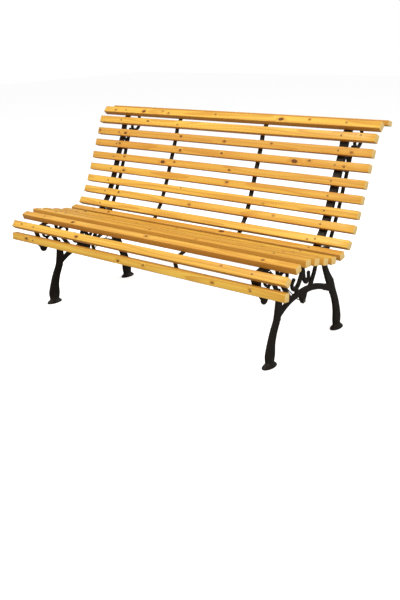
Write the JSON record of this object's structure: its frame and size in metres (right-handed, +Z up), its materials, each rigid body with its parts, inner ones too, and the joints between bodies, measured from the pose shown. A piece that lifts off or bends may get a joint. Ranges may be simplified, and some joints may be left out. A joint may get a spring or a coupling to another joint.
{
  "type": "slatted garden bench",
  "caption": "Garden bench with scrolled cast end frames carrying one S-shaped run of square wooden slats for back and seat, stiffened by rear straps and tie rods.",
  "frame": {"origin": "on the ground, at the centre of the footprint of the whole bench", "axes": "+X along the bench, to the right of a viewer facing its front; -Y towards the front; +Z up"},
  "size_m": [1.5, 0.745, 0.8433],
  "materials": {
    "varnished_wood": "clear yellow-orange varnish over knotty softwood, satin",
    "cast_iron": "black-brown paint over cast iron, satin",
    "strap_steel": "black paint, satin",
    "dark_fastener": "darkened bolt, satin",
    "plated_steel": "yellow zinc plating, satin"
  },
  "bodies": {
    "root": {"end_frame_right": "cast_iron", "end_frame_left": "cast_iron", "slat_top_rear": "varnished_wood", "bolt_top_rear_left": "dark_fastener", "bolt_top_rear_right": "dark_fastener", "slat_top_front": "varnished_wood", "bolt_top_front_left": "dark_fastener", "bolt_top_front_right": "dark_fastener", "slat_back_01": "varnished_wood", "bolt_back_01_left": "dark_fastener", "bolt_back_01_right": "dark_fastener", "slat_back_02": "varnished_wood", "bolt_back_02_left": "dark_fastener", "bolt_back_02_right": "dark_fastener", "slat_back_03": "varnished_wood", "bolt_back_03_left": "dark_fastener", "bolt_back_03_right": "dark_fastener", "slat_back_04": "varnished_wood", "bolt_back_04_left": "dark_fastener", "bolt_back_04_right": "dark_fastener", "slat_back_05": "varnished_wood", "bolt_back_05_left": "dark_fastener", "bolt_back_05_right": "dark_fastener", "slat_back_06": "varnished_wood", "bolt_back_06_left": "dark_fastener", "bolt_back_06_right": "dark_fastener", "slat_back_07": "varnished_wood", "bolt_back_07_left": "dark_fastener", "bolt_back_07_right": "dark_fastener", "slat_back_08": "varnished_wood", "bolt_back_08_left": "dark_fastener", "bolt_back_08_right": "dark_fastener", "slat_seat_01": "varnished_wood", "bolt_seat_01_left": "dark_fastener", "bolt_seat_01_right": "dark_fastener", "slat_seat_02": "varnished_wood", "bolt_seat_02_left": "dark_fastener", "bolt_seat_02_right": "dark_fastener", "slat_seat_03": "varnished_wood", "bolt_seat_03_left": "dark_fastener", "bolt_seat_03_right": "dark_fastener", "slat_seat_04": "varnished_wood", "bolt_seat_04_left": "dark_fastener", "bolt_seat_04_right": "dark_fastener", "slat_seat_05": "varnished_wood", "bolt_seat_05_left": "dark_fastener", "bolt_seat_05_right": "dark_fastener", "slat_seat_06": "varnished_wood", "bolt_seat_06_left": "dark_fastener", "bolt_seat_06_right": "dark_fastener", "slat_front_upper": "varnished_wood", "bolt_front_upper_left": "dark_fastener", "bolt_front_upper_right": "dark_fastener", "slat_front_lower": "varnished_wood", "bolt_front_lower_left": "dark_fastener", "bolt_front_lower_right": "dark_fastener", "strap_left": "strap_steel", "strap_right": "strap_steel", "tie_rod_left": "plated_steel", "tie_rod_right": "plated_steel"}
  },
  "joints": []
}
